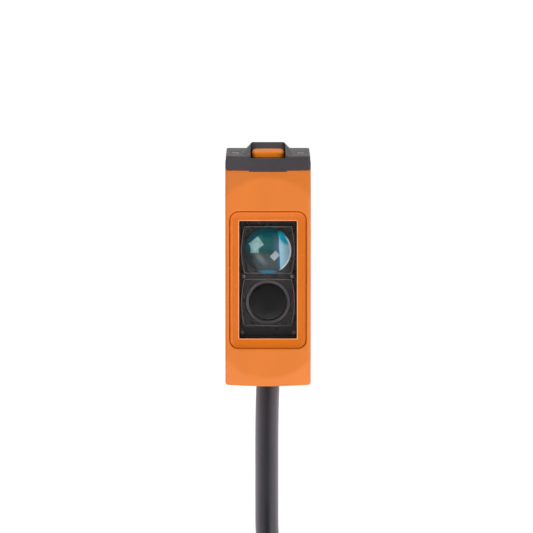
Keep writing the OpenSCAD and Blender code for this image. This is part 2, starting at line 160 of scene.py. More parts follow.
class Shader:
    """A material's node tree, with short ways to add the nodes used here."""

    def __init__(self, name):
        """A new material with a Principled surface, placed by the object's own coordinates."""
        self.material = bpy.data.materials.new(name)
        self.material.use_nodes = True
        self.tree = self.material.node_tree
        self.surface = self.tree.nodes["Principled BSDF"]
        self.place = self.add("TexCoord").outputs["Object"]

    def add(self, kind, operation=None, **inputs):
        """A node of this material."""
        return add_node(self.tree, kind, operation, **inputs)

    def drive(self, name, output):
        """Links an output to one of the surface's sockets."""
        self.tree.links.new(output, self.surface.inputs[name])

    def set(self, **values):
        """Sets the shader's own sockets: base_color=..., roughness=..."""
        for key, value in values.items():
            name = key.replace("_", " ").title().replace("Ior", "IOR")
            self.surface.inputs[name].default_value = value

    def noise(self, size_mm, detail=3.0, stretch=(1, 1, 1)):
        """Noise whose features are about size_mm across."""
        scale = [1 / (size_mm * MM * s) for s in stretch]
        mapping = self.add("Mapping", vector=self.place, scale=scale)
        return self.add("TexNoise", vector=mapping.outputs["Vector"], scale=1.0, detail=detail).outputs["Fac"]

    def ramp(self, factor, stops):
        """Colours spread along a factor."""
        node = self.add("ValToRGB", fac=factor)
        fill_ramp(node, stops)
        return node.outputs["Color"]

    def levels(self, factor, low, high):
        """A noise's middle range stretched between two numbers."""
        node = self.add("MapRange", value=factor, from_min=0.3, from_max=0.7, to_min=low, to_max=high)
        return node.outputs["Result"]

    def mask(self, place, half, turn, softness, square=False, outside=False):
        """Soft-edged ellipse or box on the lens, turned counter-clockwise, in millimetres from its axis."""
        centre = (place[0] * MM, 0.0, (LENS_Z + place[1]) * MM)
        scale = (half[0] * MM, 1000.0, half[1] * MM)
        rotation = (0.0, -math.radians(turn), 0.0)
        mapping = self.add("Mapping", vector=self.place, location=centre, rotation=rotation, scale=scale)
        mapping.vector_type = "TEXTURE"
        measure = self.add("VectorMath", "ABSOLUTE" if square else "LENGTH", vector=mapping.outputs["Vector"])
        if square:
            split = self.add("SeparateXYZ", vector=measure.outputs["Vector"])
            reach = self.math("MAXIMUM", split.outputs["X"], split.outputs["Z"])
        else:
            reach = measure.outputs["Value"]
        turned = -softness if outside else softness
        edge = self.add("MapRange", value=reach, from_min=1 + turned, from_max=1 - turned)
        edge.interpolation_type = "SMOOTHSTEP"
        return edge.outputs["Result"]

    def math(self, operation, first, second):
        """Two factors put together by a Math node."""
        node = self.add("Math", operation)
        self.tree.links.new(first, node.inputs[0])
        self.tree.links.new(second, node.inputs[1])
        return node.outputs["Value"]

    def over(self, base, factor, colour):
        """Lays a colour over another one where the factor is high."""
        mix = self.add("Mix")
        mix.data_type = "RGBA"
        mix.inputs["B"].default_value = (*colour, 1.0)
        self.tree.links.new(factor, mix.inputs["Factor"])
        self.tree.links.new(base, mix.inputs["A"])
        return mix.outputs["Result"]

    def bump(self, *layers):
        """Stacks (height output, depth in mm, strength) layers of relief."""
        normal = None
        for height, depth, strength in layers:
            node = self.add("Bump", height=height, distance=depth * MM, strength=strength)
            if normal is not None:
                self.tree.links.new(normal, node.inputs["Normal"])
            normal = node.outputs["Normal"]
        self.drive("Normal", normal)


def fill_ramp(node, stops):
    """Gives a colour ramp its (position, colour) stops."""
    elements = node.color_ramp.elements
    while len(elements) < len(stops):
        elements.new(0.5)
    for element, (position, colour) in zip(elements, stops):
        element.position = position
        element.color = (*colour, 1.0)


def moulded(name, colour, shade, roughness, grain_mm=0.12, grain_depth=0.006, waviness=0.01, gloss=0.5):
    """Injection-moulded plastic: fine spark texture, faint flow mottling and uneven gloss."""
    s = Shader(name)
    s.set(specular_ior_level=gloss)
    flow = s.noise(4.0, detail=2.0, stretch=(1, 1, 2.5))
    dark = tuple(c * shade for c in colour)
    s.drive("Base Color", s.ramp(flow, [(0.35, dark), (0.65, colour)]))
    s.drive("Roughness", s.levels(s.noise(1.2), roughness - 0.05, roughness + 0.05))
    s.bump((s.noise(grain_mm, detail=4.0), grain_depth, 0.5), (s.noise(2.5, detail=1.0), waviness, 0.25))
    return s.material


def metal(name, colour, roughness, stretch=(1, 1, 1)):
    """Turned or tinned metal with fine tool marks along one direction."""
    s = Shader(name)
    s.set(metallic=1.0)
    marks = s.noise(0.12, detail=5.0, stretch=stretch)
    s.drive("Base Color", s.ramp(marks, [(0.3, tuple(c * 0.82 for c in colour)), (0.7, colour)]))
    s.drive("Roughness", s.levels(marks, roughness - 0.08, roughness + 0.1))
    s.bump((marks, 0.003, 0.5))
    return s.material


def rubber(name, colour):
    """Soft dark seal: satin, slightly uneven."""
    s = Shader(name)
    s.drive("Base Color", s.ramp(s.noise(1.5), [(0.3, tuple(c * 0.85 for c in colour)), (0.7, colour)]))
    s.drive("Roughness", s.levels(s.noise(0.6), 0.49, 0.61))
    s.bump((s.noise(0.15, detail=4.0), 0.006, 0.5), (s.noise(1.6, detail=1.0), 0.02, 0.3))
    return s.material


def cable_jacket(name):
    """Matt PVC jacket with a pale sheen painted into its colour towards its sides, where it turns away."""
    s = Shader(name)
    s.set(specular_ior_level=0.25)
    # painted sheen: the colour pales as the surface turns away
    sheen = [(0.0, (0.012, 0.011, 0.015)), (0.10, (0.030, 0.028, 0.035)), (0.34, (0.095, 0.088, 0.105)),
             (0.7, (0.19, 0.18, 0.20))]
    s.drive("Base Color", s.ramp(s.add("LayerWeight", blend=0.5).outputs["Facing"], sheen))
    s.drive("Roughness", s.levels(s.noise(0.6), 0.3, 0.42))
    s.bump((s.noise(0.15, detail=4.0), 0.006, 0.5), (s.noise(1.6, detail=1.0), 0.02, 0.3))
    return s.material


def clear_pane(name):
    """Clear acrylic: barely tinted, with the faintest polishing haze."""
    s = Shader(name)
    s.set(base_color=(0.012, 0.011, 0.011, 1.0), ior=1.45, alpha=0.12)
    s.drive("Roughness", s.levels(s.noise(1.0), 0.02, 0.06))
    s.bump((s.noise(2.5, detail=1.0), 0.004, 0.2))
    s.material.surface_render_method = "BLENDED"
    return s.material


# painted reflections on the lens's coat, standing for the softboxes, room and floor it mirrors, from the
# lowest up: kind, centre in millimetres from the axis, half size, turn in degrees, softness, colour; a bloom
# is a box with a cloudy look
LENS_PAINTED_REFLECTIONS = [
    ("oval", (-1.9, -1.6), (1.2, 1.5), 0, 0.5, (0.038, 0.050, 0.056)),
    ("oval", (-0.95, -0.95), (0.32, 0.85), 39, 0.8, (0.150, 0.165, 0.165)),
    ("oval", (-2.3, 1.3), (0.5, 1.0), -25, 0.6, (0.002, 0.105, 0.155)),
    ("bloom", (-1.72, 0.38), (0.52, 0.62), 4, 0.12, (0.28, 0.50, 0.51)),
    ("bloom", (-1.5, 0.86), (0.75, 0.62), 37.4, 0.1, (0.36, 0.58, 0.59)),
    ("box", (1.05, 0.9), (0.34, 1.0), 0, 0.5, (0.055, 0.120, 0.180)),
    ("box", (2.23, -0.3), (0.84, 2.2), 0, 0.05, (0.36, 0.62, 0.74)),
    ("oval", (2.02, 1.56), (0.95, 0.46), -50, 0.35, (0.002, 0.42, 0.60)),
    ("box", (1.40, -1.25), (0.11, 1.25), 2, 0.3, (0.034, 0.115, 0.270)),
    ("bloom", (0.87, -0.60), (0.52, 0.40), 46, 0.12, (0.42, 0.48, 0.50)),
    ("oval", (-0.1, -2.80), (1.35, 0.30), 0, 0.3, (0.012, 0.180, 0.300)),
]
# the coat's colour from the lens's foot to its head, partly its own teal tint and partly painted reflection:
# paler grey low down where the floor is mirrored, dark teal at the head
LENS_COAT_AND_REFLECTION = [
    (0.0, (0.036, 0.040, 0.042)), (0.25, (0.064, 0.070, 0.074)), (0.42, (0.040, 0.052, 0.054)),
    (0.5, (0.016, 0.080, 0.078)), (0.62, (0.020, 0.120, 0.118)), (0.77, (0.018, 0.118, 0.118)),
    (0.81, (0.001, 0.105, 0.118)), (1.0, (0.001, 0.050, 0.062)),
]


def coated_glass(name):
    """Glass with an anti-reflection coat, teal above and smoky below, with painted reflections in pale and
    blue, a painted white highlight on its right rim, and a faint glow in the same colours.
    """
    s = Shader(name)
    # the emission makes the lens glow faintly in its own painted colours, so the painted reflections read
    # brighter
    s.set(ior=1.45, specular_tint=(0.5, 0.9, 1.0, 1.0), emission_strength=0.2)
    height = s.add("SeparateXYZ", vector=s.place).outputs["Z"]
    reach = 2.82
    along = s.add("MapRange", value=height, from_min=(LENS_Z - reach) * MM, from_max=(LENS_Z + reach) * MM)
    tone = s.ramp(along.outputs["Result"], LENS_COAT_AND_REFLECTION)
    cloud = s.levels(s.noise(0.5, detail=4.0), 0.65, 1.0)
    for kind, centre, half, turn, softness, colour in LENS_PAINTED_REFLECTIONS:
        factor = s.mask(centre, half, turn, softness, square=kind != "oval")
        if kind == "bloom":
            factor = s.math("MULTIPLY", cloud, factor)
        tone = s.over(tone, factor, colour)
    # painted white highlight along the right-hand rim
    rim = s.math("MULTIPLY", s.mask((0, 0), (2.74, 2.74), 0, 0.015, outside=True),
                 s.mask((2.7, -0.35), (1.05, 1.95), 0, 0.2, True))
    tone = s.over(tone, rim, (0.92, 0.97, 1.0))
    s.drive("Base Color", tone)
    s.drive("Emission Color", tone)
    s.drive("Roughness", s.levels(s.noise(1.5), 0.03, 0.06))
    s.bump((s.noise(0.9, detail=1.0), 0.002, 0.3))
    return s.material


# colour, shade of the mottling, roughness, grain size and depth, waviness, gloss
PLASTICS = {
    "orange_plastic": ((0.625, 0.153, 0.005), 0.95, 0.50),
    "bezel_plastic": ((0.585, 0.132, 0.006), 0.97, 0.24, 0.15, 0.001, 0.002, 0.25),
    # pale salmon that stands for a painted highlight along the window's inner edge
    "edge_highlight_plastic": ((0.90, 0.36, 0.17), 0.97, 0.3, 0.15, 0.001, 0.002),
    "button_plastic": ((0.86, 0.225, 0.006), 0.93, 0.42, 0.1, 0.003, 0.004, 0.3),
    "cap_plastic": ((0.036, 0.029, 0.035), 0.88, 0.5, 0.15, 0.012),
    "black_plastic": ((0.030, 0.024, 0.025), 0.8, 0.3, 0.12, 0.003),
    # a paler copy of the black plastic, standing for light caught on the aperture ring's bevel
    "aperture_highlight_plastic": ((0.085, 0.074, 0.078), 0.85, 0.42, 0.12, 0.003),
    # pale grey that stands for painted highlight on the black carrier's holder rims and stake heads
    "peg_highlight_plastic": ((0.20, 0.185, 0.20), 0.85, 0.2, 0.12, 0.003),
    "dark_filter": ((0.003, 0.002, 0.002), 0.8, 0.14, 0.3, 0.001),
    "light_guide": ((0.030, 0.027, 0.028), 0.8, 0.3, 0.2, 0.003),
    "circuit_board": ((0.03, 0.20, 0.07), 0.8, 0.3, 0.3, 0.004),
    "chip": ((0.02, 0.02, 0.022), 0.8, 0.5, 0.08, 0.004),
    "ceramic": ((0.45, 0.33, 0.20), 0.85, 0.5, 0.1, 0.003),
    "led_amber": ((0.80, 0.55, 0.06), 0.9, 0.15, 0.2, 0.001),
    "led_green": ((0.25, 0.55, 0.15), 0.9, 0.15, 0.2, 0.001),
    "plunger_red": ((0.30, 0.04, 0.03), 0.9, 0.3, 0.1, 0.002),
    "tie": ((0.025, 0.025, 0.028), 0.85, 0.38, 0.3, 0.004),
    "wire_brown": ((0.16, 0.06, 0.02), 0.9, 0.35, 0.2, 0.003),
    "wire_blue": ((0.03, 0.12, 0.42), 0.9, 0.35, 0.2, 0.003),
    "wire_black": ((0.015, 0.015, 0.016), 0.9, 0.35, 0.2, 0.003),
}
MATERIALS = {}


def build_materials():
    """Every look by name."""
    for name, values in PLASTICS.items():
        MATERIALS[name] = moulded(name, *values)
    MATERIALS.update({
        "clear_window": clear_pane("clear_window"),
        "coated_lens": coated_glass("coated_lens"),
        "rubber": rubber("rubber", (0.022, 0.021, 0.023)),
        "steel": metal("steel", (0.60, 0.61, 0.62), 0.28, stretch=(0.4, 4, 4)),
        "tinned": metal("tinned", (0.72, 0.71, 0.68), 0.3),
        "gold": metal("gold", (0.80, 0.62, 0.28), 0.25),
        "cable_jacket": cable_jacket("cable_jacket"),
    })


# ---------- mesh tools ----------

def finish_piece(piece, slot, body="sensor", look=None, replaces=()):
    """Gives a piece its material, named by its look or else its slot, and its body, and hides the CAD nodes
    it stands for.
    """
    piece.data.materials.clear()
    piece.data.materials.append(MATERIALS[look or slot])
    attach(piece, body)
    if replaces:
        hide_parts(*replaces)
    return piece


def link_object(name, data):
    """A new object in the scene."""
    piece = bpy.data.objects.new(name, data)
    bpy.context.scene.collection.objects.link(piece)
    return piece


def mesh_object(name, points, faces):
    """An object from points in millimetres, with outward faces and smooth shading by angle."""
    mesh = bpy.data.meshes.new(name)
    mesh.from_pydata([Vector(p) * MM for p in points], [], faces)
    work = bmesh.new()
    work.from_mesh(mesh)
    bmesh.ops.remove_doubles(work, verts=work.verts, dist=1e-7)
    bmesh.ops.recalc_face_normals(work, faces=work.faces)
    work.to_mesh(mesh)
    work.free()
    piece = link_object(name, mesh)
    shade(piece)
    return piece


def shade(piece):
    """Smooth shading that breaks at edges sharper than 35 degrees."""
    piece.data.shade_smooth()
    piece.data.set_sharp_from_angle(angle=math.radians(35.0))


def loft(name, loops, closed=False):
    """Skin over loops of equal length, capped, or closed from the last loop to the first."""
    count = len(loops[0])
    points = [p for loop in loops for p in loop]
    last = len(loops) if closed else len(loops) - 1
    faces = []
    for i in range(last):
        here, there = i * count, (i + 1) % len(loops) * count
        for k in range(count):
            n = (k + 1) % count
            faces.append((here + k, here + n, there + n, there + k))
    if not closed:
        faces.append(tuple(range(count)))
        faces.append(tuple(range(len(points) - count, len(points))))
    return mesh_object(name, points, faces)


def revolve(name, profile, centre, axis, segments=96):
    """Turns a profile of (radius, height) points round an axis. One clear of the axis is closed on itself."""
    rings = []
    for radius, height in profile:
        ring = []
        for k in range(segments):
            angle = 2 * math.pi * k / segments
            a, b = radius * math.cos(angle), radius * math.sin(angle)
            place = {"x": (height, a, b), "y": (a, height, b), "z": (a, b, height)}[axis]
            ring.append(Vector(centre) + Vector(place))
        rings.append(ring)
    return loft(name, rings, closed=min(profile)[0] > 1e-3)


def outline(half_w, low, high, r, steps=8, sides=10):
    """Rounded rectangle centred on X between two heights, as (x, z) points with evenly matched corners."""
    corners = [(half_w - r, high - r, 0), (-half_w + r, high - r, 90),
               (-half_w + r, low + r, 180), (half_w - r, low + r, 270)]
    points = []
    for cx, cz, start in corners:
        for k in range(steps + 1):
            angle = math.radians(start + 90 * k / steps)
            points.append((cx + r * math.cos(angle), cz + r * math.sin(angle)))
    full = []
    for i, here in enumerate(points):
        full.append(here)
        there = points[(i + 1) % len(points)]
        if (i + 1) % (steps + 1) == 0:
            full += [(here[0] + (there[0] - here[0]) * k / sides,
                      here[1] + (there[1] - here[1]) * k / sides) for k in range(1, sides)]
    return full


def upright(y, ring):
    """Stands (x, z) points up at a depth."""
    return [(x, y, z) for x, z in ring]


def fillet(r, steps=5):
    """Quarter round as (inset, drop) pairs, from the wall up to the flat."""
    return [(r * (1 - math.cos(a)), r * (1 - math.sin(a)))
            for a in [math.pi / 2 * k / steps for k in range(steps + 1)]]


def triangulate(piece, scale):
    """Flat triangles at a working scale, which the exact boolean needs."""
    work = bmesh.new()
    work.from_mesh(piece.data)
    bmesh.ops.scale(work, vec=(scale, scale, scale), verts=work.verts)
    bmesh.ops.triangulate(work, faces=work.faces)
    work.to_mesh(piece.data)
    work.free()


def combine(piece, other, operation):
    """Adds or cuts another closed mesh, which is used up."""
    triangulate(piece, 1 / MM)
    triangulate(other, 1 / MM)
    modifier = piece.modifiers.new("combine", "BOOLEAN")
    modifier.operation = operation
    modifier.solver = "EXACT"
    modifier.object = other
    depsgraph = bpy.context.evaluated_depsgraph_get()
    mesh = bpy.data.meshes.new_from_object(piece.evaluated_get(depsgraph))
    piece.modifiers.clear()
    piece.data = mesh
    bpy.data.objects.remove(other)
    triangulate(piece, MM)
    shade(piece)
    return piece


def cut(piece, other):
    """Takes another mesh out of a piece."""
    return combine(piece, other, "DIFFERENCE")


def join(piece, other):
    """Adds another mesh to a piece."""
    return combine(piece, other, "UNION")


def box_mm(name, low, high):
    """Plain box between two corners, for cutting or joining."""
    points = [(x, y, z) for x in (low[0], high[0]) for y in (low[1], high[1]) for z in (low[2], high[2])]
    faces = [(0, 1, 3, 2), (4, 6, 7, 5), (0, 4, 5, 1), (2, 3, 7, 6), (0, 2, 6, 4), (1, 5, 7, 3)]
    return mesh_object(name, points, faces)


def tube_curve(name, points, diameter, resolution):
    """Round tube along points in millimetres, as one open curve."""
    data = bpy.data.curves.new(name, "CURVE")
    data.dimensions = "3D"
    data.bevel_depth = diameter / 2 * MM
    data.bevel_resolution = resolution
    data.use_fill_caps = True
    spline = data.splines.new("POLY")
    spline.points.add(len(points) - 1)
    for point, place in zip(spline.points, points):
        point.co = (*(Vector(place) * MM), 1.0)
    spline.use_smooth = True
    return link_object(name, data)


# ---------- cable ----------

LEAD_ROUTE = [
    (0, -7.5, -9.4), (0, -7.5, -13.2), (-0.1, -7.5, -17), (-0.15, -7.5, -21), (-0.15, -7.5, -25),
    (-0.15, -7.5, -29), (-0.1, -7.9, -33.2), (0.3, -8.6, -36.2), (1.1, -9.5, -39.1),
    (2.5, -10.5, -41.7), (4.3, -11.4, -44.1), (6.5, -12, -46), (9.1, -12.3, -47.5),
]
LAYER_R = (21.5, 18.5, 15.5, 12.5)
COIL_EDGE = 6.8
START_ANGLE = 65.0
END_ANGLE = -20.0
WHOLE_TURNS = 18
POINTS_PER_TURN = 64
STEP_TURNS = 0.25
CORE_D = 1.1
TIP_D = 0.66
CORE_R = 10.3


def smooth_route(route, steps):
    """Points along a Catmull-Rom curve through a route."""
    places = [Vector(p) for p in route]
    places = [2 * places[0] - places[1], *places, 2 * places[-1] - places[-2]]
    points = []
    for i in range(1, len(places) - 2):
        a, b, c, d = places[i - 1:i + 3]
        for k in range(steps):
            t = k / steps
            points.append(0.5 * (2 * b + (c - a) * t + (2 * a - 5 * b + 4 * c - d) * t * t
                                 + (3 * b - a - 3 * c + d) * t ** 3))
    points.append(places[-2])
    return points


def ease(t):
    """Smooth step from 0 to 1, flat beyond them."""
    t = min(max(t, 0.0), 1.0)
    return t * t * (3 - 2 * t)


def coil_place(angle, radius, y):
    """A place round the coil's axis."""
    angle = math.radians(angle)
    return Vector((radius * math.cos(angle), y, COIL_Z + radius * math.sin(angle)))


def coil_points():
    """Turns wound in layers from the outside in, side by side and back again."""
    waver = random.Random(7)
    phases = [waver.uniform(0, 2 * math.pi) for _ in range(4)]
    total = WHOLE_TURNS + (START_ANGLE - END_ANGLE) / 360
    layer_turns = total / len(LAYER_R)
    points = []
    for i in range(1, int(total * POINTS_PER_TURN) + 1):
        turn = i / POINTS_PER_TURN
        layer = min(int(turn / layer_turns), len(LAYER_R) - 1)
        within = turn - layer * layer_turns
        last = layer == len(LAYER_R) - 1
        run = layer_turns - (0 if last else STEP_TURNS)
        side = -1 if layer % 2 == 0 else 1
        y = side * COIL_EDGE * (1 - 2 * min(within / run, 1.0))
        radius = LAYER_R[layer]
        if within > run:
            radius += (LAYER_R[layer + 1] - radius) * ease((within - run) / STEP_TURNS)
        loose = min(1.0, turn)
        radius += loose * 0.09 * math.sin(turn * 5.3 + phases[0]) * math.sin(turn * 0.9 + phases[1])
        y += loose * 0.12 * math.sin(turn * 3.7 + phases[2]) * math.sin(turn * 1.3 + phases[3])
        points.append(coil_place(START_ANGLE - 360 * turn, radius, COIL_Y + y))
    return points


def make_cores():
    """Three insulated cores that lie in the coil's bore, with stripped and tinned ends."""
    tails = []
    tip_points = []
    for index, (colour, rest_y) in enumerate((("brown", -12.8), ("blue", -11.6), ("black", -10.4))):
        start_y = COIL_Y - COIL_EDGE + (index - 1) * 0.75
        places = []
        for k in range(29):
            angle = END_ANGLE + 6 - k * (94.0 / 28)
            share = ease((k - 1) / 8)
            radius = LAYER_R[-1] + (CORE_R - LAYER_R[-1]) * share
            places.append(coil_place(angle, radius, start_y + (rest_y - start_y) * share))
        core = tube_curve("wire_" + colour, places, CORE_D, 4)
        finish_piece(core, "core_" + colour, look="wire_" + colour, replaces=["core_" + colour])
        tails.append(core)
        tip_points.append([coil_place(-106 - 24 * k / 10, CORE_R + 0.05, rest_y) for k in range(11)])
    tips = []
    for index, places in enumerate(tip_points):
        tip = tube_curve(f"core_tip_{index + 1}", places, TIP_D, 4)
        finish_piece(tip, "tinned", replaces=["core_tips"])
        tips.append(tip)
    return tails + tips


def tie_mesh(name, angle, node):
    """Nylon tie round the coil's section, with its lock head outside and a cut tail."""
    gap = 0.12
    inner, outer = LAYER_R[-1] - CABLE_D / 2 - gap, LAYER_R[0] + CABLE_D / 2 + gap
    half_t = (coil_high.y - coil_low.y) / 2 + gap
    mid, half_r = (inner + outer) / 2, (outer - inner) / 2
    band, half_l = 0.9, 1.25
    section = [(0.0, -half_l), (0.0, half_l), (band * 0.75, half_l), (band, half_l - 0.22),
               (band, -half_l + 0.22), (band * 0.75, -half_l)]
    loops = []
    for out, along in section:
        ring = outline(half_t + out, -half_r - out, half_r + out, 0.8 + out, steps=6, sides=12)
        loops.append([(mid + r, y, along) for y, r in ring])
    strap = loft(name, loops, closed=True)
    head_low, head_high = outer + band * 0.2, outer + band + 2.1
    head_loops = []
    for inset, drop in [(0.0, head_high - head_low)] + fillet(0.45):
        ring = outline(2.2 - inset, -1.9 + inset, 1.9 - inset, 0.5 - inset * 0.6)
        head_loops.append([(head_high - drop, y, along) for y, along in ring])
    slot = box_mm("slot", (outer + band + 0.5, -1.4, -0.5), (head_high + 1, 1.4, 0.5))
    tail = box_mm("tail", (outer + band + 0.35, 2.0, -1.05), (outer + band + 1.25, 3.3, 1.05))
    strap = join(join(strap, cut(loft(name + "_head", head_loops), slot)), tail)
    turn = Matrix.Rotation(-math.radians(angle), 4, "Y")
    strap.data.transform(Matrix.Translation(Vector((0, COIL_Y, COIL_Z)) * MM) @ turn)
    return finish_piece(strap, "tie", replaces=[node])


def make_cable():
    """The whole two-metre cable as one curve, with what is on it."""
    points = smooth_route(LEAD_ROUTE, 4) + coil_points()
    cable = tube_curve("cable_lead", points, CABLE_D, 9)
    finish_piece(cable, "cable_jacket", replaces=["cable", "cable_coil"])
    on_it = make_cores()
    on_it.append(tie_mesh("tie_high", 38, "tie_upper"))
    on_it.append(tie_mesh("tie_low", 218, "tie_lower"))


# ---------- housing ----------

def front_lean(x, z):
    """How far the front has leaned back at a place, beyond the flat between its two arcs."""
    if ARC_Z[0] <= z <= ARC_Z[1]:
        return 0.0
    centre = ARC_Z[1] if z > ARC_Z[1] else ARC_Z[0]
    past = math.hypot(x, z - centre) - FACE_R
    if past < -FACE_SOFTEN:
        return 0.0
    if past < FACE_SOFTEN:
        return FACE_LEAN * (past + FACE_SOFTEN) ** 2 / (4 * FACE_SOFTEN)
    return FACE_LEAN * past


def crown_rise(x):
    """Height of the crowned underside above its lowest line."""
    return CROWN_R - math.sqrt(CROWN_R ** 2 - x * x)


def plan_loop(half_w, front, back, r, z, rise=0.0):
    """Upright section of the body at a height, its front following the leaning form."""
    r = max(r, 0.03)
    across = [half_w - r - (half_w - r) * 2 * k / 44 for k in range(45)]
    depth = [front + r + (back - r - front - r) * k / 18 for k in range(1, 18)]
    flat = [(-x, front) for x in across]
    flat += [(half_w - r + r * math.sin(a), front + r - r * math.cos(a)) for a in quarter()]
    flat += [(half_w, y) for y in depth]
    flat += [(half_w - r + r * math.cos(a), back - r + r * math.sin(a)) for a in quarter(first=True)]
    flat += [(x, back) for x in across[2:-2:4]]
    flat += [(-half_w + r - r * math.sin(a), back - r + r * math.cos(a)) for a in quarter(first=True)]
    flat += [(-half_w, y) for y in reversed(depth)]
    flat += [(-half_w + r - r * math.cos(a), front + r - r * math.sin(a)) for a in quarter(last=False)]
    points = []
    for x, y in flat:
        height = z + crown_rise(x) * rise
        lean = front_lean(x, height) * (1 - ease((y - front) / 6.0))
        points.append((x, y + lean, height))
    return points


def quarter(first=False, last=True):
    """Angles of a quarter turn in six steps, with or without its end ones."""
    return [math.pi / 2 * k / 6 for k in range(0 if first else 1, 7 if last else 6)]


def body_loop(z, inset=0.0, rise=0.0):
    """Section of the body at a height, drawn in all round by an inset."""
    return plan_loop(HALF_W - inset, SHELL_FRONT_Y + inset, BACK_Y - inset, CORNER_R - inset, z, rise)


def shell_block():
    """The shell's outside as a solid: crowned underside, leaning ends, rounded lower edge."""
    loops = [body_loop(SHELL_BOTTOM, inset, 1.0) for inset in (4.7, 3.6, 2.4, 1.3, 0.6)]
    loops += [body_loop(SHELL_BOTTOM + rise, inset, 1.0) for inset, rise in reversed(fillet(SHELL_EDGE, 6))]
    levels = 84
    low, high = SHELL_BOTTOM + SHELL_EDGE, SHELL_TOP - 0.1
    for k in range(1, levels + 1):
        z = low + (high - low) * k / levels
        loops.append(body_loop(z, 0.0, max(0.0, 1 - (z - low) / 1.2)))
    loops += [body_loop(SHELL_TOP - 0.03, 0.03), body_loop(SHELL_TOP, 0.1)]
    return loft("housing_shell", loops)


def make_shell():
    """Orange moulded shell with its cavity, bosses, window opening, cable throat and latch slot."""
    shell = shell_block()
    hollow = [body_loop(z, WALL) for z in (SHELL_BOTTOM + 1.0, -9, -6, 0, 6, 8, 10, 12, SHELL_TOP - 0.3)]
    hollow += [body_loop(SHELL_TOP - 0.3, 0.5), body_loop(SHELL_TOP + 0.5, 0.5)]
    shell = cut(shell, loft("hollow", hollow))
    for z in HOLE_Z:
        shell = join(shell, revolve("boss", [(0, -4.9), (3.0, -4.9), (3.0, 4.9), (0, 4.9)], (0, 0, z), "x"))
        bore = [(0, -6), (2.6, -6), (2.2, -HALF_W + 0.12), (2.2, HALF_W - 0.12), (2.6, 6), (0, 6)]
        shell = cut(shell, revolve("bore", bore, (0, 0, z), "x"))
    shell = cut(shell, frame_cutter())
    opening = outline(4.3, -7.95, 8.1, 0.5)
    shell = cut(shell, loft("opening", [upright(y, opening) for y in (-18, -15.5)]))
    throat = [(0, -14), (2.35, -14), (2.02, SHELL_BOTTOM + 0.12), (2.02, -12), (0, -12)]
    shell = cut(shell, revolve("throat", throat, (CABLE_X, CABLE_Y, 0), "z"))
    shell = cut(shell, box_mm("tab_slot", (-2.38, -17, SHELL_TOP - 0.13), (2.38, -15.3, SHELL_TOP + 1)))
    finish_piece(shell, "orange_plastic", replaces=["housing"])


def frame_rows():
    """(depth, inset) pairs across the frame: a narrow shadow gap, then a wide hollow fillet."""
    rows = [(0.07, 0.0), (0.27, 0.02), (0.30, 0.04), (0.28, 0.08), (0.19, 0.12), (0.17, 0.15)]
    for k in range(1, 8):
        angle = math.pi / 2 * k / 7
        rows.append((0.17 + 0.23 * math.sin(angle), 0.15 + 0.8 * (1 - math.cos(angle))))
    return [(SHELL_FRONT_Y + drop, inset) for drop, inset in rows]


def frame_ring(y, inset):
    """The frame's outline at a depth, drawn in by an inset."""
    return upright(y, outline(FRAME_HALF_W - inset, FRAME_Z[0] + inset, FRAME_Z[1] - inset, FRAME_R - inset))


def frame_cutter():
    """Solid that opens the shell's front in the frame's outline, with a slightly broken edge."""
    rows = [(-1, -0.07), (0, -0.07), (0.02, -0.02), (0.07, 0), (0.55, 0)]
    return loft("dish", [frame_ring(SHELL_FRONT_Y + drop, inset) for drop, inset in rows])


def window_outline(outset):
    """The window's outline, widened by an outset."""
    return outline(WINDOW_HALF_W + outset, WINDOW_Z[0] - outset, WINDOW_Z[1] + outset, WINDOW_R + outset)


def make_frame():
    """Sunk frame round the window: a glossy dish with a hollow fillet and a broken inner edge, and a thin
    bead along the opening whose pale colour is a painted highlight.
    """
    loops = [frame_ring(y, inset) for y, inset in frame_rows()]
    for drop, outset in ((0, 0.17), (0.01, 0.15), (0.09, 0.01), (0.12, 0.0), (0.5, 0.0)):
        loops.append(upright(RECESS_Y + drop, window_outline(outset)))
    loops += [upright(RECESS_Y + drop, outline(4.35, -8.0, 8.15, 0.5)) for drop in (0.5, 0.2)]
    loops += [frame_ring(SHELL_FRONT_Y + 0.6, -0.04), frame_ring(SHELL_FRONT_Y + 0.1, -0.04)]
    frame_piece = loft("window_frame", loops, closed=True)
    finish_piece(frame_piece, "orange_plastic", look="bezel_plastic", replaces=["housing"])
    # thin bead along the opening, in a paler colour that is a painted highlight
    edge = bead("frame_edge", upright(RECESS_Y + 0.03, window_outline(0.05)), 0.05)
    finish_piece(edge, "orange_plastic", look="edge_highlight_plastic")


def make_sleeves():
    """Turned steel bushes in the two cross holes."""
    inner, outer, end, bevel = 1.6, 2.2, HALF_W - 0.02, 0.12
    half = [(outer, end - bevel / 2), (outer - bevel / 2, end), (inner + bevel, end), (inner, end - bevel)]
    profile = [(r, -x) for r, x in reversed(half)] + half
    for index, (z, node) in enumerate(((HOLE_Z[1], "sleeve_upper"), (HOLE_Z[0], "sleeve_lower"))):
        finish_piece(revolve(f"bush_{index + 1}", profile, (0, 0, z), "x"), "steel", replaces=[node])


# ---------- cap, guard and button ----------

def prism_loops(ring, levels):
    """The same flat ring of (x, y) points at several heights."""
    return [[(x, y, z) for x, y in ring] for z in levels]


def round_rect(x0, x1, y0, y1, r):
    """Rounded rectangle in X and Y, with its corners only."""
    corners = [(x1 - r, y1 - r, 0), (x0 + r, y1 - r, 90), (x0 + r, y0 + r, 180), (x1 - r, y0 + r, 270)]
    points = []
    for cx, cy, start in corners:
        for k in range(7):
            angle = math.radians(start + 15 * k)
            points.append((cx + r * math.cos(angle), cy + r * math.sin(angle)))
    return points


